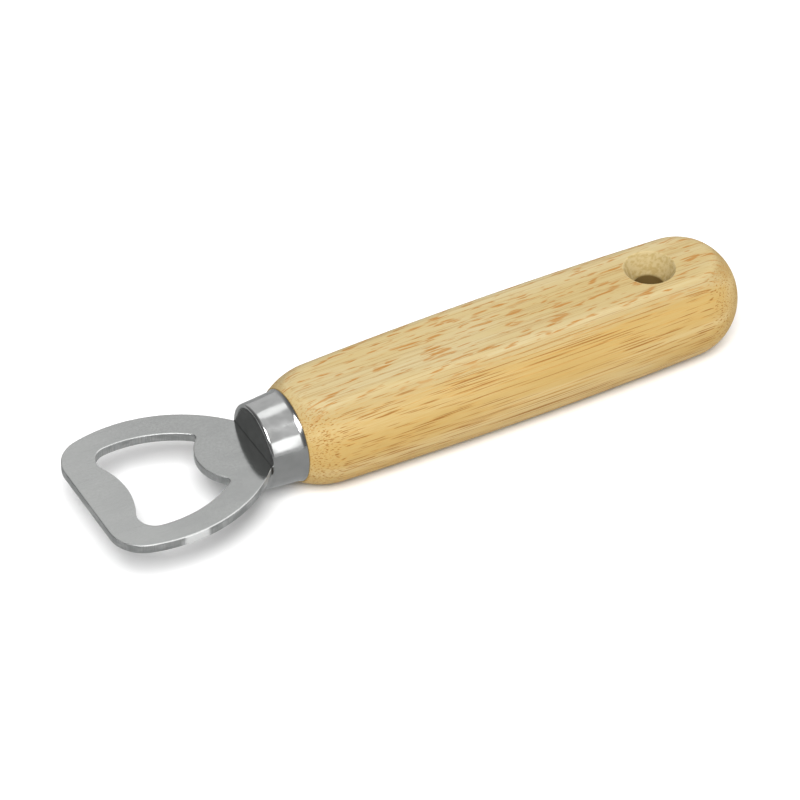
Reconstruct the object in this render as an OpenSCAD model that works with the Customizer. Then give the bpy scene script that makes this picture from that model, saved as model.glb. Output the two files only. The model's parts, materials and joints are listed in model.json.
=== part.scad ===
// Bottle opener: a flat steel head with a tang, a drawn steel ferrule and a turned wooden handle.
// Millimetres, +Z up. +X runs from the head to the end of the handle.
// The origin is on the surface that the handle rests on, under the middle of the whole opener.
// Lengths named "from the ferrule" start at the ferrule's front face, on the handle's axis.

/* [Head plate] */
// Thickness of the plate
plate_t = 2.0; // [1.6:0.1:2.1]
// How far the head stands out in front of the ferrule
head_reach = 38.3; // [37:0.1:40]
// Widest width of the head
head_w = 39.2; // [37:0.2:41]
// Distance of the head's widest place from the ferrule
head_wide_x = 24.0; // [23:0.5:25]
// Radius of the head's two long curved sides
head_side_r = 31.5; // [30:0.5:33]
// Radius of the head's two front corners
head_corner_r = 8.0; // [6:0.5:9]

/* [Mouth] */
// Widest width of the mouth
mouth_w = 27.6; // [26:0.2:29]
// Distance of the mouth's widest place from the ferrule
mouth_wide_x = 25.0; // [24:0.5:26]
// Radius of the mouth's two long curved sides
mouth_side_r = 25.2; // [24:0.2:27]
// Distance of the cap bridge, the shallow swell of the front edge, from the ferrule
bridge_x = 29.2; // [28:0.2:30]
// Radius of the cap bridge
bridge_r = 19.0; // [17:0.5:22]
// Distance of the lifting tooth's tip from the ferrule
tooth_x = 12.7; // [11:0.1:13.5]
// Radius of the lifting tooth
tooth_r = 10.0; // [9:0.5:11]
// Radius of the mouth's front corners
mouth_front_r = 4.0; // [3:0.5:5]
// Radius of the mouth's rear corners, beside the tooth
mouth_rear_r = 1.2; // [0.8:0.1:1.6]

/* [Tang] */
// Width of the tang inside the handle
tang_w = 7.0; // [5:0.5:7.5]
// Length of the tang behind the ferrule's front face
tang_l = 34.0; // [26:1:40]
// Length of the tang's point
tang_point = 5.0; // [3:0.5:8]

/* [Ferrule] */
// Length of the ferrule
ferrule_l = 8.0; // [7:0.1:9]
// Diameter at the ferrule's front
ferrule_front_d = 18.6; // [18:0.1:19]
// Diameter at the ferrule's back, before its rim
ferrule_back_d = 19.9; // [19.4:0.1:20.4]
// Thickness of the ferrule's sheet
ferrule_t = 0.8; // [0.6:0.1:1]
// Outer radius of the bend between the front face and the side
ferrule_bend_r = 0.7; // [0.6:0.1:1]
// Length of the flared rim at the back
rim_l = 1.0; // [0.8:0.1:1.4]
// How far the rim flares beyond the side
rim_out = 0.25; // [0.1:0.05:0.4]
// Height of the slot that the plate passes through
slot_h = 2.2; // [2.2:0.1:3]
// Width of the slot
slot_w = 17.8; // [17.6:0.1:17.9]

/* [Handle] */
// Length of the wood behind the ferrule
grip_l = 109.1; // [95:0.1:125]
// Thickest diameter of the turned wood
grip_d = 27.9; // [26:0.1:30]
// Distance of the thickest place from the ferrule
grip_thick_x = 66.0; // [60:1:70]
// Radius of the handle's long belly curve
belly_r = 1300; // [1000:50:2000]
// Radius of the shoulder behind the ferrule
shoulder_r = 17; // [14:0.5:22]
// Diameter at which the shoulder starts
shoulder_d = 20.8; // [20.2:0.1:21]
// Thickness between the handle's upper and lower flats
flat_h = 22.2; // [21:0.2:24]

/* [Hanging hole] */
// Diameter of the hole
hole_d = 6.5; // [5:0.1:8]
// Distance of the hole from the handle's end
hole_from_end = 20.7; // [18:0.1:24]
// Diameter of the countersink at each flat
sink_d = 11.4; // [10:0.2:14]
// Depth of the countersink
sink_depth = 4.6; // [3.6:0.1:5.4]
// Diameter of the drilled hole that the tang is glued into
tang_bore_d = 8.0; // [8:0.1:9]

/* [Hidden] */
$fn = 128;
eps = 0.01;
cut = 1;
arc_steps = 20;

overall_l = head_reach + ferrule_l + grip_l;
front_x = head_reach - overall_l / 2;
axis_z = flat_h / 2;
end_x = ferrule_l + grip_l;
hole_x = end_x - hole_from_end;
bore_end_x = tang_l + 1;
grip_r = grip_d / 2;

// Point on a circle
function on_circle(centre, r, angle) = centre + r * [cos(angle), sin(angle)];
// Points of an arc from angle a0 to angle a1, both included
function arc(centre, r, a0, a1) =
    [for (i = [0 : arc_steps]) on_circle(centre, r, a0 + (a1 - a0) * i / arc_steps)];
// Direction from point a to point b
function bearing(a, b) = atan2(b[1] - a[1], b[0] - a[0]);
// Direction from a to b as an angle from 0 to 360
function full_bearing(a, b) = (bearing(a, b) + 360) % 360;
// The point at distance ra from a and rb from b, on the left of the way from a to b
function meet(a, ra, b, rb) =
    let (d = norm(b - a), along = (ra * ra - rb * rb + d * d) / (2 * d))
    let (side = sqrt(ra * ra - along * along), dir = (b - a) / d)
    a + along * dir + side * [-dir[1], dir[0]];
// The same outline with y turned round, in the opposite order
function mirrored(points) = [for (i = [len(points) - 1 : -1 : 0]) [points[i][0], -points[i][1]]];

// Outline of the head, its +Y half, from the front edge to the neck
head_side_c = [-head_wide_x, head_w / 2 - head_side_r];
head_corner_x = head_corner_r - head_reach;
head_corner_y = head_side_c[1]
    + sqrt(pow(head_side_r - head_corner_r, 2) - pow(head_corner_x - head_side_c[0], 2));
head_corner_c = [head_corner_x, head_corner_y];
neck_y = head_side_c[1] + sqrt(pow(head_side_r, 2) - pow(ferrule_t - head_side_c[0], 2));
head_half = concat(
    arc(head_corner_c, head_corner_r, 180, bearing(head_side_c, head_corner_c)),
    arc(head_side_c, head_side_r,
        bearing(head_side_c, head_corner_c), bearing(head_side_c, [ferrule_t, neck_y])));

// Outline of the tang, its +Y half, from the neck's shoulder to the point
tang_half = [
    [ferrule_t, tang_w / 2],
    [tang_l - tang_point, tang_w / 2],
    [tang_l, tang_w / 6]];

// Outline of the mouth, its +Y half, from the bridge's middle to the tooth's tip
bridge_c = [-bridge_x - bridge_r, 0];
tooth_c = [-tooth_x + tooth_r, 0];
mouth_side_c = [-mouth_wide_x, mouth_w / 2 - mouth_side_r];
mouth_front_c = meet(bridge_c, bridge_r + mouth_front_r, mouth_side_c, mouth_side_r - mouth_front_r);
mouth_rear_c = meet(mouth_side_c, mouth_side_r - mouth_rear_r, tooth_c, tooth_r + mouth_rear_r);
mouth_half = concat(
    arc(bridge_c, bridge_r, 0, bearing(bridge_c, mouth_front_c)),
    arc(mouth_front_c, mouth_front_r,
        full_bearing(mouth_front_c, bridge_c), bearing(mouth_side_c, mouth_front_c)),
    arc(mouth_side_c, mouth_side_r,
        bearing(mouth_side_c, mouth_front_c), bearing(mouth_side_c, mouth_rear_c)),
    arc(mouth_rear_c, mouth_rear_r,
        bearing(mouth_side_c, mouth_rear_c), bearing(mouth_rear_c, tooth_c)),
    arc(tooth_c, tooth_r, full_bearing(tooth_c, mouth_rear_c), 180));

// Profile of the turned wood, as distance from the ferrule and radius
belly_c = [grip_thick_x, grip_r - belly_r];
shoulder_start = [ferrule_l, shoulder_d / 2];
shoulder_c = meet(shoulder_start, shoulder_r, belly_c, belly_r - shoulder_r);
dome_l = end_x - grip_thick_x;
dome_r = (pow(belly_r, 2) - pow(belly_r - grip_r, 2) - pow(dome_l, 2)) / (2 * (belly_r - dome_l));
dome_c = [end_x - dome_r, 0];
spigot_front_r = side_r(ferrule_t) - ferrule_t;
spigot_back_r = side_r(ferrule_l) - ferrule_t;
// Outer radius of the ferrule's side at a distance from its front
function side_r(x) = (ferrule_front_d + (ferrule_back_d - ferrule_front_d) * x / ferrule_l) / 2;

// Children drawn round +Z are laid along +X, from the ferrule's front on the handle's axis
module along_axis() {
    translate([front_x, 0, axis_z]) rotate([0, 90, 0]) children();
}

// A solid of revolution about the handle's axis from a list of [distance, radius]
module turned(profile) {
    along_axis() rotate_extrude() polygon([for (p = profile) [p[1], p[0]]]);
}

// A flat shape drawn in plan, as thick as given, centred on the handle's axis
module plate_at_axis(thickness) {
    translate([front_x, 0, axis_z - thickness / 2]) linear_extrude(thickness) children();
}

// Head and tang, blanked from one plate
module head_plate() {
    color("silver") plate_at_axis(plate_t) difference() {
        union() {
            polygon(concat(head_half, [[ferrule_t, tang_w / 2]], [[ferrule_t, -tang_w / 2]],
                mirrored(head_half)));
            polygon(concat(tang_half, mirrored(tang_half)));
        }
        polygon(concat(mouth_half, mirrored(mouth_half)));
    }
}

// Drawn cup over the wood's spigot, with a slot in its front for the plate
module ferrule() {
    bend_c = [ferrule_bend_r, side_r(ferrule_bend_r) - ferrule_bend_r];
    rim_x = ferrule_l - rim_l;
    rim_r = side_r(ferrule_l) + rim_out;
    outside = concat(
        [[0, 0]],
        arc(bend_c, ferrule_bend_r, 180, 90),
        [for (i = [0 : arc_steps]) let (t = i / arc_steps)
            [rim_x + rim_l * t, side_r(rim_x + rim_l * t) + rim_out * (1 - cos(90 * t))]]);
    inside = [
        [ferrule_l, spigot_back_r],
        [ferrule_t, spigot_front_r],
        [ferrule_t, 0]];
    color("gainsboro") difference() {
        turned(concat(outside, inside));
        translate([front_x + ferrule_t / 2, 0, axis_z])
            cube([ferrule_t + 2 * eps, slot_w, slot_h], center = true);
    }
}

// Hole that the tang goes into, along the handle's axis
module tang_bore() {
    along_axis() translate([0, 0, ferrule_t]) cylinder(d = tang_bore_d, h = bore_end_x - ferrule_t);
}

// Cured adhesive that holds the tang in its hole
module tang_glue() {
    color("khaki") difference() {
        tang_bore();
        plate_at_axis(plate_t) polygon(concat(
            [[-cut, tang_w / 2]], tang_half, mirrored(tang_half), [[-cut, -tang_w / 2]]));
    }
}

// Countersink at the upper flat, cut on past it so that it opens cleanly
module countersink() {
    widening = (sink_d - hole_d) / 2 / sink_depth;
    translate([0, 0, flat_h / 2 - sink_depth])
        cylinder(h = sink_depth + cut, r1 = hole_d / 2, r2 = sink_d / 2 + cut * widening);
}

// Turned wood with a spigot for the ferrule, two flats, and a countersunk hanging hole
module handle() {
    profile = concat(
        [[ferrule_t, 0], [ferrule_t, spigot_front_r], [ferrule_l, spigot_back_r]],
        arc(shoulder_c, shoulder_r, bearing(shoulder_c, shoulder_start), bearing(belly_c, shoulder_c)),
        arc(belly_c, belly_r, bearing(belly_c, shoulder_c), bearing(belly_c, dome_c)),
        arc(dome_c, dome_r, bearing(belly_c, dome_c), 0));
    color("burlywood") difference() {
        intersection() {
            turned(profile);
            translate([front_x, -grip_d, 0]) cube([end_x + cut, 2 * grip_d, flat_h]);
        }
        tang_bore();
        translate([front_x + hole_x, 0, axis_z]) {
            cylinder(d = hole_d, h = flat_h + 2 * cut, center = true);
            countersink();
            mirror([0, 0, 1]) countersink();
        }
    }
}

head_plate();
ferrule();
tang_glue();
handle();
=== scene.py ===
# %% [markdown]
# # A bottle opener with a turned wooden handle
#
# This opener is a flat steel head with an open mouth, a drawn steel ferrule, and
# a turned handle with two flats and a hanging hole. The CAD model already fixes every
# size and place. This lesson rebuilds the three visible pieces on that frame with
# softer edges and real finishes, and then lights them like a small studio still life.
#
# The frame comes first, because every piece takes its place from it.

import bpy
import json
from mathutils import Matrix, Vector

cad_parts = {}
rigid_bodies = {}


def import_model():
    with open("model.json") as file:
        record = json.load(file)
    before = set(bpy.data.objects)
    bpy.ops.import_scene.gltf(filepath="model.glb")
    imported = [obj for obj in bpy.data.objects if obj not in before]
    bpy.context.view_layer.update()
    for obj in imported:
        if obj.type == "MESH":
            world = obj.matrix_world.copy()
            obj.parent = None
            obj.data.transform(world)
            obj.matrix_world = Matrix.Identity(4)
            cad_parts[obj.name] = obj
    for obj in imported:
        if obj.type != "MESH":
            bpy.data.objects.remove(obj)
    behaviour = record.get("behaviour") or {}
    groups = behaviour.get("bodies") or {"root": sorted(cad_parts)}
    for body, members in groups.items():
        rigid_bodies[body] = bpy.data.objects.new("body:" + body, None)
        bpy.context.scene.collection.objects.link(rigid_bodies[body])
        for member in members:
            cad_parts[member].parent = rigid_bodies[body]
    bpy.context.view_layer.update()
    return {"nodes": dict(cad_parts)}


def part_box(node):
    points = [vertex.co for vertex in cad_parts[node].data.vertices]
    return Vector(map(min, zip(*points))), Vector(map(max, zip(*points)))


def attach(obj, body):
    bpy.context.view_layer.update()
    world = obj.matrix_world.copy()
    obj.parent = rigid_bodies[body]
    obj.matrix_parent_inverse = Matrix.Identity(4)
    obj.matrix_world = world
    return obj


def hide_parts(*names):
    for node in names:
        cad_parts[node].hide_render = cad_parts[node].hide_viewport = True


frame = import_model()

# %% [markdown]
# ## One origin for all the drawing
#
# A maker measures this opener from the ferrule's front face, along the handle's axis,
# in millimetres. Blender works in metres from a point on the table. Two small helpers
# turn the first into the second, so that the numbers in the cells stay the maker's own.

# %% Where the ferrule's front face and the axis are
import json
import math

import bmesh
import bpy
from mathutils import Matrix, Vector

MM = 0.001
front_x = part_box("ferrule")[0].x
axis_z = sum(corner.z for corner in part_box("handle")) / 2


def place(distance, side=0.0, height=0.0):
    """The point so many millimetres behind the ferrule's front, to the side and above the axis."""
    return Vector((front_x + distance * MM, side * MM, axis_z + height * MM))


def span(node, axis):
    """A CAD node's lowest and highest value along an axis, in millimetres from `place(0)`."""
    origin = place(0)[axis]
    return [(corner[axis] - origin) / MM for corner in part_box(node)]


head_front, tang_end = span("head_plate", 0)
ferrule_l = span("ferrule", 0)[1]
handle_end = span("handle", 0)[1]
head_half_w = span("head_plate", 1)[1]
plate_half_t = span("head_plate", 2)[1]
grip_r = span("handle", 1)[1]
flat_z = span("handle", 2)[1]
print(f"head reaches {-head_front:.1f} mm, handle ends at {handle_end:.1f} mm, "
      f"flats at {flat_z:.1f} mm")

# %% [markdown]
# ## The camera
#
# The opener is seen from its left side and a little from the front, nearly half a right
# angle up. The lens is long, so the far end is hardly smaller than the near one, and the
# round shapes stay free of distortion. `to_track_quat` turns the camera to its target
# without any roll.

# %% Set up the camera
AZIMUTH = math.radians(-28.88)
ELEVATION = math.radians(39.86)
toward_camera = Vector((
    math.sin(AZIMUTH) * math.cos(ELEVATION),
    -math.cos(AZIMUTH) * math.cos(ELEVATION),
    math.sin(ELEVATION)))
CAMERA_DISTANCE = 0.8518  # in metres
LENS = 181.3
aim = place(34.2, -1.4)
camera_data = bpy.data.cameras.new("camera")
camera_data.sensor_width = 36.0
camera_data.lens = LENS
camera_data.clip_start = 0.05
camera_data.clip_end = 20.0
camera = bpy.data.objects.new("camera", camera_data)
camera.location = aim + toward_camera * CAMERA_DISTANCE
camera.rotation_mode = "QUATERNION"
camera.rotation_quaternion = (-toward_camera).to_track_quat("-Z", "Y")
bpy.context.scene.collection.objects.link(camera)
bpy.context.scene.camera = camera
print("camera at", tuple(round(value, 3) for value in camera.location))

# %% [markdown]
# ## A pen that draws with bmesh operators
#
# The head's outline, the ferrule's profile and the handle's profile are all chains of
# straight runs and arcs. They could be typed in as lists of points, but it is easier
# to draw them as a draughtsman does. The pen starts from one vertex, extrudes
# it for a straight run, and spins it round a centre for an arc. The plane that it
# draws in is given by two directions.

# %% The pen
ARC_STEP = 0.45


def circle_angle(centre, point):
    """Direction from the centre to the point, in degrees."""
    return math.degrees(math.atan2(point[1] - centre[1], point[0] - centre[0]))


def circles_meet(a, radius_a, b, radius_b):
    """Where two circles meet, on the left of the way from a to b."""
    dx, dy = b[0] - a[0], b[1] - a[1]
    gap = math.hypot(dx, dy)
    along = (radius_a ** 2 - radius_b ** 2 + gap ** 2) / (2 * gap)
    aside = math.sqrt(radius_a ** 2 - along ** 2)
    return (a[0] + (along * dx - aside * dy) / gap, a[1] + (along * dy + aside * dx) / gap)


class Pen:
    """Draws a chain of edges in a bmesh. Points are pairs of millimetres in the pen's plane."""

    def __init__(self, bm, start, origin, right, up):
        self.bm, self.origin, self.right, self.up = bm, origin, right, up
        self.first = bmesh.ops.create_vert(bm, co=self.at(start))["vert"][0]
        self.tip, self.here = self.first, start

    def at(self, point):
        return self.origin + self.right * point[0] * MM + self.up * point[1] * MM

    def line(self, end):
        """A straight run to a point."""
        made = bmesh.ops.extrude_vert_indiv(self.bm, verts=[self.tip])
        self.tip, self.here = made["verts"][0], end
        self.tip.co = self.at(end)
        return self

    def arc(self, centre, end_angle, anticlockwise=True, step=ARC_STEP):
        """An arc round a centre, to the place that lies at that angle from it."""
        start_angle = circle_angle(centre, self.here)
        turn = (end_angle - start_angle) % 360
        turn = turn if anticlockwise else turn - 360
        radius = math.hypot(self.here[0] - centre[0], self.here[1] - centre[1])
        steps = max(3, math.ceil(radius * math.radians(abs(turn)) / step))
        made = bmesh.ops.spin(
            self.bm, geom=[self.tip], cent=self.at(centre), axis=self.right.cross(self.up),
            angle=math.radians(turn), steps=steps, use_merge=False, use_duplicate=False)
        self.tip = made["geom_last"][0]
        end = math.radians(end_angle)
        self.here = (centre[0] + radius * math.cos(end), centre[1] + radius * math.sin(end))
        return self

    def close(self):
        """Joins the chain's end to its start."""
        self.bm.edges.new((self.tip, self.first))
        return self


X_AXIS, Y_AXIS, Z_AXIS = Vector((1, 0, 0)), Vector((0, 1, 0)), Vector((0, 0, 1))
print(f"arcs are drawn with a vertex about every {ARC_STEP} mm")

# %% [markdown]
# ## Turning a profile, cutting with another piece, and finishing a mesh
#
# A lathe shape is a profile spun once round its axis. The vertices that lie on
# the axis become a pile of copies, so they are merged, which closes the poles. Holes
# and slots are cut by an exact Boolean, and the result is kept as a plain mesh so that
# nothing live is left on the piece. Every piece ends smooth-shaded, with its real
# corners marked sharp.

# %% Helpers for solids
MERGE_DISTANCE = 1e-6


def turn_profile(bm, centre, axis, steps):
    """Spins everything in the bmesh once round an axis into a closed solid."""
    bmesh.ops.spin(
        bm, geom=bm.verts[:] + bm.edges[:], cent=centre, axis=axis,
        angle=math.tau, steps=steps, use_merge=True, use_duplicate=False)
    bmesh.ops.remove_doubles(bm, verts=bm.verts[:], dist=MERGE_DISTANCE)
    bmesh.ops.recalc_face_normals(bm, faces=bm.faces[:])


def make_object(bm, name, *materials):
    """Makes a bmesh an object whose place is in its mesh, with its materials in order."""
    mesh = bpy.data.meshes.new(name)
    bm.to_mesh(mesh)
    bm.free()
    for material in materials:
        mesh.materials.append(material)
    piece = bpy.data.objects.new(name, mesh)
    bpy.context.scene.collection.objects.link(piece)
    return piece


def cut_away(piece, cutter):
    """Cuts one object out of another and keeps the result as a plain mesh."""
    boolean = piece.modifiers.new("cut", "BOOLEAN")
    boolean.operation, boolean.solver, boolean.object = "DIFFERENCE", "EXACT", cutter
    graph = bpy.context.evaluated_depsgraph_get()
    result = bpy.data.meshes.new_from_object(piece.evaluated_get(graph))
    piece.modifiers.clear()
    piece.data = result
    bpy.data.objects.remove(cutter)


def finish_piece(piece, node, sharp_degrees):
    """Shades a piece and puts it on the frame in place of a CAD node."""
    piece.data.shade_smooth()
    piece.data.set_sharp_from_angle(angle=math.radians(sharp_degrees))
    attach(piece, "root")
    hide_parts(node)
    open_edges = edge_faults(piece.data)
    print(f"{piece.name}: {len(piece.data.polygons)} faces, {open_edges} open edges")


def edge_faults(mesh):
    """How many edges don't join exactly two faces."""
    bm = bmesh.new()
    bm.from_mesh(mesh)
    count = sum(len(edge.link_faces) != 2 for edge in bm.edges)
    bm.free()
    return count


print("helpers ready")

# %% [markdown]
# ## Materials as small graphs
#
# Every finish here is procedural. The pattern's place comes from Object coordinates,
# in metres, so a grain line keeps its size on the real piece and runs through its
# corners without a seam. `Finish` holds one material, and has a short method for each
# kind of node that the finishes use. Values that are the same all over a surface are
# set on the shader's own sockets.

# %% A helper class for finishes
class Finish:
    """One material with a Principled shader, and short ways to add the nodes that drive it."""

    def __init__(self, name, **constants):
        self.material = bpy.data.materials.new(name)
        self.material.use_nodes = True
        self.nodes, self.links = self.material.node_tree.nodes, self.material.node_tree.links
        self.shader = self.nodes["Principled BSDF"]
        for socket, value in constants.items():
            self.shader.inputs[socket.replace("_", " ")].default_value = value
        self.place = self.nodes.new("ShaderNodeTexCoord")

    def link(self, output, socket):
        self.links.new(output, socket)

    def drive(self, socket_name, output):
        """Lets a pattern drive one of the shader's sockets."""
        self.link(output, self.shader.inputs[socket_name])

    def stretched(self, length, width, height, turn=0.0):
        """Object coordinates in which one unit is that many millimetres along X, Y and Z."""
        mapping = self.nodes.new("ShaderNodeMapping")
        mapping.vector_type = "POINT"
        mapping.inputs["Rotation"].default_value = (0, 0, math.radians(turn))
        sizes = (length, width, height)
        mapping.inputs["Scale"].default_value = [1 / (size * MM) for size in sizes]
        self.link(self.place.outputs["Object"], mapping.inputs["Vector"])
        return mapping.outputs["Vector"]

    def noise(self, vector, detail=2.0, roughness=0.5, distortion=0.0):
        """Soft noise from 0 to 1, about one lump for each unit."""
        noise = self.nodes.new("ShaderNodeTexNoise")
        noise.inputs["Scale"].default_value = 1.0
        noise.inputs["Detail"].default_value = detail
        noise.inputs["Roughness"].default_value = roughness
        noise.inputs["Distortion"].default_value = distortion
        self.link(vector, noise.inputs["Vector"])
        return noise.outputs["Fac"]

    def fit(self, value, low, high, new_low=0.0, new_high=1.0):
        """Takes a value from one range to another in a smooth step, and stops at the ends."""
        fit = self.nodes.new("ShaderNodeMapRange")
        fit.interpolation_type = "SMOOTHSTEP"
        settings = {"From Min": low, "From Max": high, "To Min": new_low, "To Max": new_high}
        for socket, number in settings.items():
            fit.inputs[socket].default_value = number
        self.link(value, fit.inputs["Value"])
        return fit.outputs["Result"]

    def maths(self, operation, a, b):
        """One arithmetic step. Either side may be an output or a number."""
        node = self.nodes.new("ShaderNodeMath")
        node.operation = operation
        for socket, value in zip(node.inputs, (a, b)):
            if isinstance(value, (int, float)):
                socket.default_value = value
            else:
                self.link(value, socket)
        return node.outputs["Value"]

    def blend(self, share, a, b):
        """A colour between two colours. Each may be an output or three numbers."""
        mix = self.nodes.new("ShaderNodeMix")
        mix.data_type = "RGBA"
        self.link(share, mix.inputs["Factor"])
        for socket, value in ((mix.inputs[6], a), (mix.inputs[7], b)):
            if isinstance(value, tuple):
                socket.default_value = (*value, 1.0)
            else:
                self.link(value, socket)
        return mix.outputs[2]

    def part(self, vector, letter):
        """One of the three numbers of a vector."""
        split = self.nodes.new("ShaderNodeSeparateXYZ")
        self.link(vector, split.inputs["Vector"])
        return split.outputs[letter]

    def coordinate(self, letter):
        """How far the shaded point lies along X, Y or Z, in metres."""
        return self.part(self.place.outputs["Object"], letter)

    def bump(self, height, depth, strength, under=None):
        """Relief from a pattern, so many millimetres deep."""
        bump = self.nodes.new("ShaderNodeBump")
        bump.inputs["Distance"].default_value = depth * MM
        bump.inputs["Strength"].default_value = strength
        self.link(height, bump.inputs["Height"])
        if under is not None:
            self.link(under, bump.inputs["Normal"])
        return bump.outputs["Normal"]


print("finish helper ready")

# %% [markdown]
# ## Tumbled steel for the head
#
# The head is blanked from 2 mm sheet and tumbled, which leaves a soft grey sheen, faint
# clouds of tone, a fine grain and a few hairline scratches in all directions. A low,
# uneven roughness gives the blurred reflection of the ferrule, and three layers of noise
# stretched at different angles make the hairlines. The front is painted a little brighter
# than the neck, a painted sheen for the brighter reflection there. The scratches are
# hardly deep: they are mostly tone.

# %% Steel of the flat faces
SHEEN_FRONT, SHEEN_NECK = -38, -12  # where the painted sheen is strongest, and where it ends

sheet_steel = Finish("tumbled_steel", Metallic=1.0)
clouds = sheet_steel.noise(sheet_steel.stretched(9, 6, 6), detail=3.0, roughness=0.6)
mottle = sheet_steel.noise(sheet_steel.stretched(0.6, 0.5, 0.5), detail=3.0, roughness=0.65)
tone = sheet_steel.blend(
    sheet_steel.fit(clouds, 0.3, 0.7), (0.46, 0.47, 0.463), (0.51, 0.52, 0.51))
tone = sheet_steel.blend(sheet_steel.fit(mottle, 0.3, 0.7, 0.0, 0.6), tone, (0.41, 0.42, 0.412))
along = sheet_steel.coordinate("X")
# Painted sheen: the front of the head is painted lighter than the neck, for a brighter reflection
# there.
painted_sheen = sheet_steel.fit(along, place(SHEEN_FRONT).x, place(SHEEN_NECK).x, 0.45, 0.0)
tone = sheet_steel.blend(painted_sheen, tone, (0.62, 0.63, 0.62))
hairlines = None
for turn, length in ((12, 14.0), (-38, 9.0), (74, 11.0)):
    strokes = sheet_steel.noise(sheet_steel.stretched(length, 0.09, 0.09, turn), detail=1.0)
    strokes = sheet_steel.fit(strokes, 0.66, 0.74)
    hairlines = strokes if hairlines is None else sheet_steel.maths("MAXIMUM", hairlines, strokes)
tone = sheet_steel.blend(sheet_steel.maths("MULTIPLY", hairlines, 0.3), tone, (0.36, 0.365, 0.36))
sheet_steel.drive("Base Color", tone)
sheet_steel.drive("Roughness", sheet_steel.fit(mottle, 0.3, 0.75, 0.1, 0.17))
relief = sheet_steel.bump(mottle, 0.003, 0.4)
sheet_steel.drive("Normal", sheet_steel.bump(hairlines, -0.0008, 0.4, relief))
print("tumbled steel:", len(sheet_steel.nodes), "nodes")

# %% [markdown]
# ## The sheared edge
#
# A punch shears the first part of the sheet's edge cleanly and tears the rest, so the
# edge is duller than the faces, with short upright marks. Where the head is widest, a
# short stretch of the edge is painted bright, almost white: a painted highlight, which a
# lower Metallic value helps. Its ends are two soft ramps along X, and a third one keeps
# it off the mouth's walls.

# %% Steel of the edges
HIGHLIGHT_START, HIGHLIGHT_END = (-26.3, -24.7), (-20.6, -19.2)  # the ramps along the axis
HIGHLIGHT_ASIDE = (18.5, 19.0)  # the ramp out from the axis

sheared_steel = Finish("sheared_steel")
marks = sheared_steel.noise(sheared_steel.stretched(0.22, 0.22, 3.0), detail=2.0)
patches = sheared_steel.noise(sheared_steel.stretched(4.0, 4.0, 1.6), detail=2.0)
tone = sheared_steel.blend(
    sheared_steel.fit(patches, 0.35, 0.65), (0.45, 0.46, 0.455), (0.65, 0.655, 0.65))
tone = sheared_steel.blend(sheared_steel.fit(marks, 0.4, 0.7, 0.0, 0.5), tone, (0.38, 0.385, 0.38))
aside = sheared_steel.maths("ABSOLUTE", sheared_steel.coordinate("Y"), 0.0)
aside = sheared_steel.fit(aside, HIGHLIGHT_ASIDE[0] * MM, HIGHLIGHT_ASIDE[1] * MM)
along = sheared_steel.coordinate("X")
starts = sheared_steel.fit(along, place(HIGHLIGHT_START[0]).x, place(HIGHLIGHT_START[1]).x)
ends = sheared_steel.fit(along, place(HIGHLIGHT_END[0]).x, place(HIGHLIGHT_END[1]).x, 1.0, 0.0)
painted_highlight = sheared_steel.maths("MULTIPLY", starts, ends)
painted_highlight = sheared_steel.maths("MULTIPLY", painted_highlight, aside)
# Painted highlight: where the head is widest, the edge is painted almost white.
tone = sheared_steel.blend(painted_highlight, tone, (0.74, 0.745, 0.74))
sheared_steel.drive("Base Color", tone)
sheared_steel.drive("Metallic", sheared_steel.fit(painted_highlight, 0.0, 1.0, 1.0, 0.55))
sheared_steel.drive("Roughness", sheared_steel.fit(patches, 0.3, 0.7, 0.34, 0.48))
sheared_steel.drive("Normal", sheared_steel.bump(marks, 0.02, 0.5))
print("sheared steel:", len(sheared_steel.nodes), "nodes")

# %% [markdown]
# ## The head's outline
#
# The head is a plate about 39 mm wide with a mouth that fits over a crown cap: a
# shallow bridge in front rests on the cap, and a round tooth behind it lifts the
# edge. The outline is a chain of arcs that run into each other, so the pen draws it
# that way. Only one half is drawn, from the front edge round the outside, along the
# tang, and back round the mouth. That half is one simple face, which a plate with a
# hole in it can't be.

# %% Draw one half of the head
wall_t = 0.8  # the ferrule's sheet
head_corner_r, head_side_r, head_wide_x = 8.0, 31.5, -24.0
side_centre = (head_wide_x, head_half_w - head_side_r)
corner_x = head_front + head_corner_r
corner_centre = (corner_x, side_centre[1] + math.sqrt(
    (head_side_r - head_corner_r) ** 2 - (corner_x - head_wide_x) ** 2))
neck = (wall_t, side_centre[1] + math.sqrt(head_side_r ** 2 - (wall_t - head_wide_x) ** 2))
tang_half_w, tang_point = 3.5, 5.0

mouth_half_w, mouth_wide_x, mouth_side_r = 13.8, -25.0, 25.2
bridge_x, bridge_r, tooth_x, tooth_r = -29.2, 19.0, -12.7, 10.0
mouth_front_r, mouth_rear_r = 4.0, 1.2
bridge_centre, tooth_centre = (bridge_x - bridge_r, 0.0), (tooth_x + tooth_r, 0.0)
mouth_side_centre = (mouth_wide_x, mouth_half_w - mouth_side_r)
mouth_front_centre = circles_meet(
    bridge_centre, bridge_r + mouth_front_r, mouth_side_centre, mouth_side_r - mouth_front_r)
mouth_rear_centre = circles_meet(
    mouth_side_centre, mouth_side_r - mouth_rear_r, tooth_centre, tooth_r + mouth_rear_r)

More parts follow.
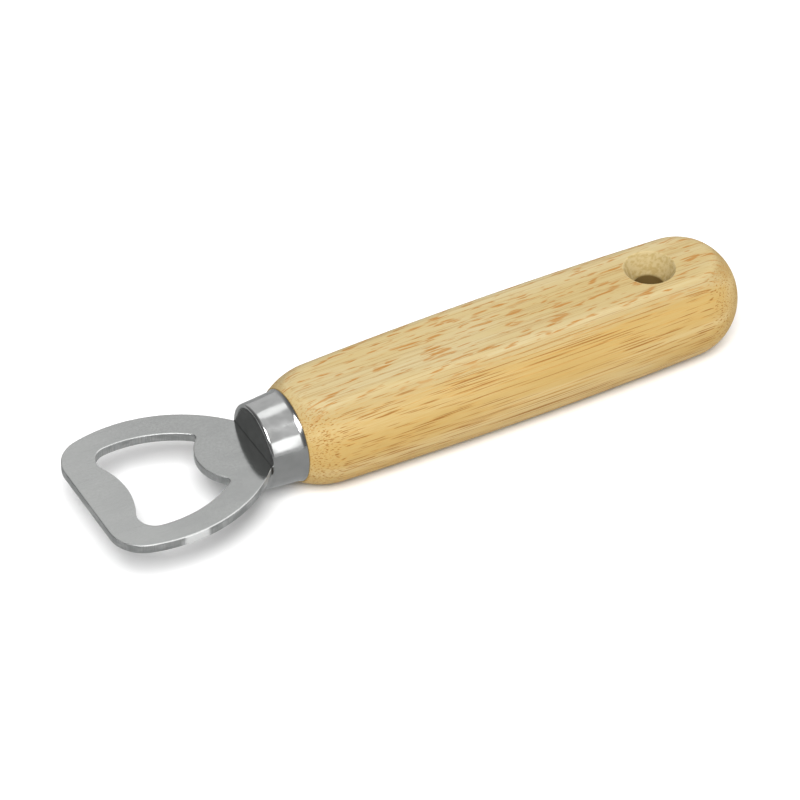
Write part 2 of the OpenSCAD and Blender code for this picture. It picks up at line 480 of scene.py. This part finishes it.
plate = bmesh.new()
pen = Pen(plate, (head_front, 0.0), place(0, 0, -plate_half_t), X_AXIS, Y_AXIS)
pen.line((head_front, corner_centre[1]))
pen.arc(corner_centre, circle_angle(side_centre, corner_centre), anticlockwise=False)
pen.arc(side_centre, circle_angle(side_centre, neck), anticlockwise=False)
pen.line((wall_t, tang_half_w)).line((tang_end - tang_point, tang_half_w))
pen.line((tang_end, tang_half_w / 3)).line((tang_end, 0.0)).line((tooth_x, 0.0))
pen.arc(tooth_centre, circle_angle(tooth_centre, mouth_rear_centre), anticlockwise=False)
pen.arc(mouth_rear_centre, circle_angle(mouth_side_centre, mouth_rear_centre), step=0.2)
pen.arc(mouth_side_centre, circle_angle(mouth_side_centre, mouth_front_centre))
pen.arc(mouth_front_centre, circle_angle(mouth_front_centre, bridge_centre), step=0.3)
pen.arc(bridge_centre, 0.0, anticlockwise=False)
pen.close()
print("half outline:", len(plate.edges), "edges")

# %% [markdown]
# ## From outline to plate
#
# The half becomes a face, its mirror image makes the plate whole, and an extrusion
# gives the thickness. A narrow bevel stands for the tumbling, which leaves no edge sharp,
# and it takes the edge's steel. An inset then holds a rim flat beside the bevel, so that
# its smooth shading doesn't spill over the face.

# %% Make the plate
EDGE_ROUNDING, HOLDING_RIM = 0.12, 0.3
UPRIGHT, FACE_NORMAL, FLAT_NORMAL = 0.5, 0.8, 0.999  # three tests of how upright a normal is

bmesh.ops.contextual_create(plate, geom=plate.edges[:])
bmesh.ops.mirror(
    plate, geom=plate.verts[:] + plate.edges[:] + plate.faces[:],
    matrix=Matrix.Identity(4), merge_dist=MERGE_DISTANCE, axis="Y")
raised = bmesh.ops.extrude_face_region(plate, geom=plate.faces[:])["geom"]
bmesh.ops.translate(
    plate, vec=Z_AXIS * 2 * plate_half_t * MM,
    verts=[part for part in raised if isinstance(part, bmesh.types.BMVert)])
bmesh.ops.recalc_face_normals(plate, faces=plate.faces[:])
rims = [edge for edge in plate.edges
        if {abs(face.normal.z) > UPRIGHT for face in edge.link_faces} == {True, False}]
bmesh.ops.bevel(
    plate, geom=rims, offset=EDGE_ROUNDING * MM, offset_type="OFFSET", segments=3,
    profile=0.5, affect="EDGES", clamp_overlap=True, material=-1)
flats = [face for face in plate.faces if abs(face.normal.z) > FLAT_NORMAL]
for face in plate.faces:
    face.material_index = 0 if abs(face.normal.z) > FACE_NORMAL else 1
bmesh.ops.inset_region(
    plate, faces=flats, thickness=HOLDING_RIM * MM, use_even_offset=True, use_boundary=True)
head = make_object(plate, "opener_head", sheet_steel.material, sheared_steel.material)
finish_piece(head, "head_plate", sharp_degrees=35)

# %% [markdown]
# ## Polished steel for the ferrule
#
# The ferrule is a cup drawn from thin sheet and polished on a wheel. Wheel polishing
# leaves very fine rings round the axis and a bright skin that is almost a mirror. The
# rings are noise squeezed along X, which is the axis. The skin is a low roughness with
# a little smear from handling, which softens the edges of what it reflects.

# %% Steel of the ferrule
bright_steel = Finish("polished_steel", Metallic=1.0)
rings = bright_steel.noise(bright_steel.stretched(0.12, 6.0, 6.0), detail=2.0)
smears = bright_steel.noise(bright_steel.stretched(3.0, 2.2, 2.2), detail=3.0)
tone = bright_steel.blend(
    bright_steel.fit(smears, 0.3, 0.7), (0.45, 0.455, 0.45), (0.51, 0.515, 0.51))
bright_steel.drive("Base Color", tone)
bright_steel.drive("Roughness", bright_steel.fit(smears, 0.35, 0.75, 0.13, 0.2))
bright_steel.drive("Normal", bright_steel.bump(rings, 0.003, 0.35))
print("polished steel:", len(bright_steel.nodes), "nodes")

# %% [markdown]
# ## The ferrule
#
# A ferrule keeps the wood from splitting where the tang goes in. This one is a shallow
# cup with a rounded front edge and a gently flared rim at the back, and its front has a
# slot for the plate. The cup's profile is drawn once, outside and inside, and turned. A
# thin box cuts the slot.

# %% Turn the cup and cut its slot
FRONT_R, BACK_R, FRONT_BEND = 9.3, 9.95, 0.7
SIDE_ANGLE = 94  # the bend ends here, since the side leans out by about 4 degrees
RIM_L, RIM_OUT, LIP_ROUND = 1.0, 0.25, 0.12
SLOT_W, SLOT_H = 17.8, 2.2


def cup_r(distance):
    """Outer radius of the cup's side."""
    return FRONT_R + (BACK_R - FRONT_R) * distance / ferrule_l


cup = bmesh.new()
bend_centre = (FRONT_BEND, cup_r(FRONT_BEND) - FRONT_BEND)
pen = Pen(cup, (0.0, 0.0), place(0), X_AXIS, Z_AXIS)
# The extra points on the straight runs keep the faces small, so that they shade evenly.
pen.line((0.0, 4.0)).line((0.0, bend_centre[1] - 0.3)).line((0.0, bend_centre[1]))
pen.arc(bend_centre, SIDE_ANGLE, anticlockwise=False, step=0.1)
pen.line((2.0, cup_r(2.0))).line((4.0, cup_r(4.0)))
for share in (0.0, 0.2, 0.4, 0.6, 0.8):
    distance = ferrule_l - RIM_L + (RIM_L - LIP_ROUND) * share
    flare = RIM_OUT * (1 - math.cos(math.radians(90) * share))
    pen.line((distance, cup_r(distance) + flare))
lip_centre = (ferrule_l - LIP_ROUND, BACK_R + RIM_OUT - LIP_ROUND)
pen.line((lip_centre[0], BACK_R + RIM_OUT)).arc(lip_centre, 0.0, anticlockwise=False, step=0.05)
pen.line((ferrule_l, BACK_R - wall_t))
pen.line((wall_t, cup_r(wall_t) - wall_t)).line((wall_t, 0.0))
turn_profile(cup, place(0), X_AXIS, steps=128)
ferrule = make_object(cup, "ferrule_cup", bright_steel.material)

slot = bmesh.new()
slot_size = Vector((2 * wall_t, SLOT_W, SLOT_H)) * MM
slot_frame = Matrix.Translation(place(0)) @ Matrix.Diagonal((*slot_size, 1.0))
bmesh.ops.create_cube(slot, size=1.0, matrix=slot_frame)
cut_away(ferrule, make_object(slot, "slot_cutter", bright_steel.material))
finish_piece(ferrule, "ferrule", sharp_degrees=40)

# %% [markdown]
# ## Wood for the handle
#
# The handle is a pale, straight-grained hardwood under a thin satin varnish. Four
# things make its figure. Growth rings are wide soft bands of tone, and fibres are fine
# streaks in them. Rays are thin upright sheets in the tree: where the surface cuts across
# them, on the flats, they show as orange-brown dashes with pointed ends. Pores are long
# hair-thin tubes along the grain: they show as fine dark lines with a golden halo on the
# round sides, and as dots on the end. Each one is noise in Object coordinates, stretched
# to that feature's real length, width and height, so the same solid pattern makes
# dashes, lines and dots by itself. The flats are paler and less yellow than the round
# sides, partly the wood's own tone and partly a painted sheen from the light above. The
# soft edges of the flats are painted a little darker, a painted shade that keeps them
# from catching more light than the flats and sides.

# %% Wood of the turned surface
RAY_HEIGHT = 24  # how far up and down a ray reaches
FEW_RAYS, ALL_RAYS = 20, 60  # the rays are a little fewer near the ferrule

wood = Finish("varnished_hardwood", Specular_IOR_Level=0.12)
facing_up = wood.maths("ABSOLUTE", wood.part(wood.place.outputs["Normal"], "Z"), 0.0)
on_flat = wood.fit(facing_up, 0.5, 0.95)

growth = wood.noise(wood.stretched(70, 7, 5), detail=3.0, roughness=0.5, distortion=0.4)
growth = wood.fit(growth, 0.32, 0.68)
# Partly painted sheen: the flats are paler and less yellow than the round sides, partly the wood's
# own tone.
flat_tone_and_sheen = wood.blend(growth, (0.505, 0.39, 0.18), (0.545, 0.46, 0.265))
side_tone = wood.blend(growth, (0.47, 0.32, 0.11), (0.535, 0.41, 0.195))
tone = wood.blend(on_flat, side_tone, flat_tone_and_sheen)
# Painted shade: the soft edges between flat and side are painted darker.
painted_edge_shade = wood.maths("MULTIPLY", on_flat, wood.maths("SUBTRACT", 1.0, on_flat))
tone = wood.blend(painted_edge_shade, tone, (0.25, 0.17, 0.06))

fibres = wood.noise(wood.stretched(11, 0.22, 0.22), detail=3.0, roughness=0.6)
streaks = wood.maths(
    "MULTIPLY", wood.fit(fibres, 0.38, 0.66), wood.fit(on_flat, 0.0, 1.0, 0.32, 0.18))
tone = wood.blend(streaks, tone, (0.45, 0.28, 0.08))

along = wood.coordinate("X")
near_ferrule = wood.fit(along, place(FEW_RAYS).x, place(ALL_RAYS).x, -0.012, 0.0)
rays = None
for length, width, start in ((7.0, 1.25, 0.58), (5.0, 0.65, 0.58)):
    dashes = wood.noise(wood.stretched(length, width, RAY_HEIGHT), detail=1.5, distortion=0.2)
    dashes = wood.fit(wood.maths("ADD", dashes, near_ferrule), start, start + 0.09)
    rays = dashes if rays is None else wood.maths("MAXIMUM", rays, dashes)
cells = wood.noise(wood.stretched(4.0, 0.35, 0.35), detail=2.0)
rays = wood.maths("MULTIPLY", rays, wood.fit(cells, 0.3, 0.6, 0.45, 1.0))
rays = wood.maths("MULTIPLY", rays, on_flat)
tone = wood.blend(rays, tone, (0.42, 0.205, 0.055))

pores = wood.noise(wood.stretched(36, 0.25, 0.25), detail=1.5, roughness=0.5)
shows = wood.fit(on_flat, 0.0, 1.0, 1.0, 0.35)
halo = wood.maths("MULTIPLY", wood.fit(pores, 0.5, 0.62, 0.0, 0.6), shows)
tone = wood.blend(halo, tone, (0.52, 0.28, 0.07))
pores = wood.fit(pores, 0.58, 0.65)
dark_lines = wood.maths("MULTIPLY", pores, wood.maths("MULTIPLY", shows, 0.75))
tone = wood.blend(dark_lines, tone, (0.24, 0.1, 0.022))
wood.drive("Base Color", tone)
wood.drive("Roughness", wood.fit(fibres, 0.3, 0.7, 0.52, 0.64))
relief = wood.bump(fibres, 0.012, 0.5)
wood.drive("Normal", wood.bump(pores, -0.05, 0.6, relief))
print("hardwood:", len(wood.nodes), "nodes")

# %% [markdown]
# ## Wood inside the hanging hole
#
# The hole is drilled and countersunk after turning. The cutter leaves end
# grain and torn fibres there, which drink more varnish. So the countersink has nearly
# the flat's tone, but with a coarser, olive figure. The narrow bore below it is painted
# down to dark brown: mostly a painted shade for the deep hole, with a little of the raw
# wood's darker tone.

# %% Wood of the bored surfaces
SHADED_BELOW, UNSHADED_ABOVE = 6.2, 6.9  # heights above the axis, about the countersink's foot

bored_wood = Finish("bored_hardwood", Specular_IOR_Level=0.3)
figure = bored_wood.noise(bored_wood.stretched(1.6, 0.9, 0.9), detail=3.0, roughness=0.6)
tone = bored_wood.blend(
    bored_wood.fit(figure, 0.42, 0.62), (0.545, 0.43, 0.215), (0.45, 0.335, 0.135))
height = bored_wood.coordinate("Z")
height = bored_wood.maths("ABSOLUTE", bored_wood.maths("SUBTRACT", height, axis_z), 0.0)
# Painted shade: below the countersink's foot the bore is painted dark brown.
outside_painted_shade = bored_wood.fit(height, SHADED_BELOW * MM, UNSHADED_ABOVE * MM)
tone = bored_wood.blend(outside_painted_shade, (0.14, 0.088, 0.024), tone)
bored_wood.drive("Base Color", tone)
bored_wood.drive("Roughness", bored_wood.fit(figure, 0.3, 0.7, 0.55, 0.75))
bored_wood.drive("Normal", bored_wood.bump(figure, 0.04, 0.6))
print("bored wood:", len(bored_wood.nodes), "nodes")

# %% [markdown]
# ## The handle's turned body
#
# The wood is turned first: a spigot that fills the ferrule, a round shoulder, a long,
# hardly curved belly and a domed end. The belly is one arc of a very large radius, and
# the shoulder and dome run into it without a corner. The profile also goes round the
# drilled hole for the tang, so that the turned solid is closed inside too.

# %% Turn the handle
BELLY_R, BELLY_X, SHOULDER_R, SHOULDER_START_R = 1300.0, 66.0, 17.0, 10.4
BORE_R, BORE_END = 4.0, tang_end + 1.0

belly_centre = (BELLY_X, grip_r - BELLY_R)
shoulder_centre = circles_meet(
    (ferrule_l, SHOULDER_START_R), SHOULDER_R, belly_centre, BELLY_R - SHOULDER_R)
dome_l = handle_end - BELLY_X
dome_r = (BELLY_R ** 2 - (BELLY_R - grip_r) ** 2 - dome_l ** 2) / (2 * (BELLY_R - dome_l))
dome_centre = (handle_end - dome_r, 0.0)

grip = bmesh.new()
pen = Pen(grip, (BORE_END, 0.0), place(0), X_AXIS, Z_AXIS)
pen.line((BORE_END, BORE_R)).line((wall_t, BORE_R)).line((wall_t, cup_r(wall_t) - wall_t))
pen.line((ferrule_l, BACK_R - wall_t)).line((ferrule_l, SHOULDER_START_R))
pen.arc(
    shoulder_centre, circle_angle(belly_centre, shoulder_centre), anticlockwise=False, step=0.5)
pen.arc(belly_centre, circle_angle(belly_centre, dome_centre), anticlockwise=False, step=1.1)
pen.arc(dome_centre, 0.0, anticlockwise=False, step=0.6)
turn_profile(grip, place(0), X_AXIS, steps=160)
print(f"turned body: {len(grip.faces)} faces, dome radius {dome_r:.2f} mm")

# %% [markdown]
# ## Sanding the two flats
#
# The upper and lower flats are sanded on a belt, and the hand that holds the wood
# rocks a little, so their edges are soft. Cutting with a plane would leave a hard
# line. Here each vertex above the flat is moved down to it instead, and a short
# parabola blends the round side into the flat. That leaves the turned mesh's
# even faces in place. The spigot and the bore for the tang, both inside the ferrule,
# take the finish of drilled wood.

# %% Sand the flats
SOFT_EDGE = 0.9


def sanded(height):
    """The height that is left of a height above the axis, in millimetres."""
    start = flat_z - SOFT_EDGE
    over = abs(height) - start
    if over <= 0:
        return height
    over = min(over, 2 * SOFT_EDGE)
    return math.copysign(start + over - over * over / (4 * SOFT_EDGE), height)


for vert in grip.verts:
    vert.co.z = axis_z + sanded((vert.co.z - axis_z) / MM) * MM
bmesh.ops.recalc_face_normals(grip, faces=grip.faces[:])
for face in grip.faces:
    face.material_index = int(face.calc_center_median().x < place(ferrule_l).x)
handle = make_object(grip, "wooden_handle", wood.material, bored_wood.material)
print(f"flats at {flat_z:.2f} mm above and below the axis")

# %% [markdown]
# ## The hanging hole
#
# A nail or cord goes through a small hole near the handle's end, and a countersink
# at each flat guides it in. The tool that cuts all of it is one turned shape: a
# stem with two cones and a little rounding where each cone meets its flat. Its faces
# carry the second material, and the Boolean hands that on to the walls it leaves.

# %% Cut the hole
HOLE_R, SINK_R, SINK_DEPTH, HOLE_X = 3.25, 5.7, 4.6, handle_end - 20.7
RIM_ROUND, RUN_OUT, CLEAR = 0.4, 0.1, 1.0
ABOVE_TANGENT = 0.005

hole = bmesh.new()
pen = Pen(hole, (0.0, flat_z + CLEAR), place(HOLE_X), X_AXIS, Z_AXIS)
cone_slope = math.degrees(math.atan2(SINK_DEPTH, SINK_R - HOLE_R))
round_centre = (SINK_R + RIM_ROUND * math.tan(math.radians(cone_slope / 2)), flat_z - RIM_ROUND)
pen.line((round_centre[0] - RUN_OUT, flat_z + CLEAR))
pen.line((round_centre[0] - RUN_OUT, flat_z - ABOVE_TANGENT))
pen.arc(round_centre, 90 + cone_slope, step=0.15)
pen.line((HOLE_R, flat_z - SINK_DEPTH)).line((HOLE_R, 0.0))
bmesh.ops.mirror(
    hole, geom=hole.verts[:] + hole.edges[:], matrix=Matrix.Translation(-place(HOLE_X)),
    merge_dist=MERGE_DISTANCE, axis="Z")
turn_profile(hole, place(HOLE_X), Z_AXIS, steps=96)
for face in hole.faces:
    face.material_index = 1
cut_away(handle, make_object(hole, "hole_cutter", wood.material, bored_wood.material))
finish_piece(handle, "handle", sharp_degrees=30)

# %% [markdown]
# ## The glue round the tang
#
# Inside the handle, cured glue fills the drilled hole round the tang. Hardly any of it
# shows, so the CAD solid stays as it is and only gets a finish: a hard amber resin
# with cloudy streaks.

# %% Finish of the glue
amber_glue = Finish("cured_glue", Roughness=0.35, IOR=1.5)
streaks = amber_glue.noise(amber_glue.stretched(3.0, 1.0, 1.0), detail=3.0)
amber_glue.drive("Base Color", amber_glue.blend(
    amber_glue.fit(streaks, 0.3, 0.7), (0.42, 0.25, 0.08), (0.6, 0.42, 0.17)))
amber_glue.drive("Normal", amber_glue.bump(streaks, 0.02, 0.4))
glue = frame["nodes"]["tang_glue"]
glue.data.materials.clear()
glue.data.materials.append(amber_glue.material)
print("glue finish:", len(amber_glue.nodes), "nodes")

# %% [markdown]
# ## The floor
#
# The opener lies on a plain white sheet. A wide plane with a matt white finish is
# enough, and a very faint unevenness keeps it from being a flat colour. Polished metal on
# a white sheet loses its outline, so a studio puts grey paper where only the metal
# sees it. Here that is a second sheet, just under the first. Only reflections see it,
# and the first sheet keeps the lamps off it, so that it shows as an even grey.

# %% Lay the floor
FLOOR_HALF_SIZE, GREY_SHEET_DROP = 4.0, 0.1
white_sheet = Finish("white_sheet", Roughness=0.85, Specular_IOR_Level=0.1)
cloudiness = white_sheet.noise(white_sheet.stretched(60, 60, 60), detail=3.0)
white_sheet.drive("Base Color", white_sheet.blend(
    white_sheet.fit(cloudiness, 0.3, 0.7), (0.95, 0.95, 0.95), (0.96, 0.96, 0.96)))
grey_sheet = Finish("grey_sheet", Roughness=0.9, Specular_IOR_Level=0.1)
grey_sheet.drive("Base Color", grey_sheet.blend(
    grey_sheet.noise(grey_sheet.stretched(60, 60, 60)), (0.92, 0.93, 0.93), (0.95, 0.96, 0.96)))


def lay_sheet(name, drop, material):
    """A wide flat sheet, so many millimetres under the table's surface."""
    sheet = bmesh.new()
    bmesh.ops.create_grid(
        sheet, x_segments=2, y_segments=2, size=FLOOR_HALF_SIZE,
        matrix=Matrix.Translation(Z_AXIS * -drop * MM))
    laid = make_object(sheet, name, material)
    return laid


floor = lay_sheet("floor", 0.0, white_sheet.material)
floor.visible_glossy = False
mirrored_floor = lay_sheet("floor_in_reflections", GREY_SHEET_DROP, grey_sheet.material)
mirrored_floor.visible_camera = False
mirrored_floor.visible_diffuse = False
mirrored_floor.visible_shadow = False
print(f"floor is {2 * FLOOR_HALF_SIZE:.0f} m square at height 0")

# %% [markdown]
# ## The light
#
# The main light is one big softbox on the camera's side and higher than the camera, so
# that most of the shadow hides behind the opener. It is strong enough to leave the floor
# pure white. Polished metal shows the studio, so it also gets two white cards: one in
# front makes the bright band on the ferrule's side, and one overhead makes the paler
# band on its top. Only reflections see the cards, and they throw no light of their own.
# The room is pale behind the handle and dark beyond the head, which gives the ferrule's
# front its depth.

# %% Softbox, cards and room
LIT_POINT = place(4)  # the middle of the ferrule


def lamp(name, direction, distance, size_x, size_y, radiance):
    """A rectangular light that faces the ferrule and shows that radiance in a mirror."""
    data = bpy.data.lights.new(name, "AREA")
    data.shape, data.size, data.size_y = "RECTANGLE", size_x, size_y
    data.energy = radiance * math.pi * size_x * size_y
    made = bpy.data.objects.new(name, data)
    direction = Vector(direction).normalized()
    made.location = LIT_POINT + direction * distance
    made.rotation_mode = "QUATERNION"
    made.rotation_quaternion = direction.to_track_quat("Z", "Y")
    bpy.context.scene.collection.objects.link(made)
    print(f"{name}: {data.energy:.2f} W")
    return made


def card(name, direction, distance, size_x, size_y, radiance):
    """A white card that shows in metal and gloss, and throws no light."""
    made = lamp(name, direction, distance, size_x, size_y, radiance)
    made.visible_diffuse = False
    return made


# name, direction from the ferrule, distance and size in metres, radiance
lamp("main_softbox", (-0.3, -0.46, 0.84), 2.4, 1.4, 1.4, 11.0)
card("overhead_card", (0.4, 0.3, 0.88), 0.7, 0.5, 0.3, 1.0)
card("front_card", (0.38, -0.84, 0.38), 0.9, 0.5, 0.44, 1.7)

world = bpy.data.worlds.new("room")
world.use_nodes = True
room_nodes, room_links = world.node_tree.nodes, world.node_tree.links
direction = room_nodes.new("ShaderNodeTexCoord")
split = room_nodes.new("ShaderNodeSeparateXYZ")
ramp = room_nodes.new("ShaderNodeMapRange")
ramp.interpolation_type = "SMOOTHSTEP"
room_shades = {"From Min": -0.45, "From Max": 0.3, "To Min": 0.18, "To Max": 0.8}
for socket, number in room_shades.items():
    ramp.inputs[socket].default_value = number
room_links.new(direction.outputs["Generated"], split.inputs["Vector"])
room_links.new(split.outputs["X"], ramp.inputs["Value"])
room_links.new(ramp.outputs["Result"], room_nodes["Background"].inputs["Color"])
bpy.context.scene.world = world
bpy.context.scene.view_settings.view_transform = "Standard"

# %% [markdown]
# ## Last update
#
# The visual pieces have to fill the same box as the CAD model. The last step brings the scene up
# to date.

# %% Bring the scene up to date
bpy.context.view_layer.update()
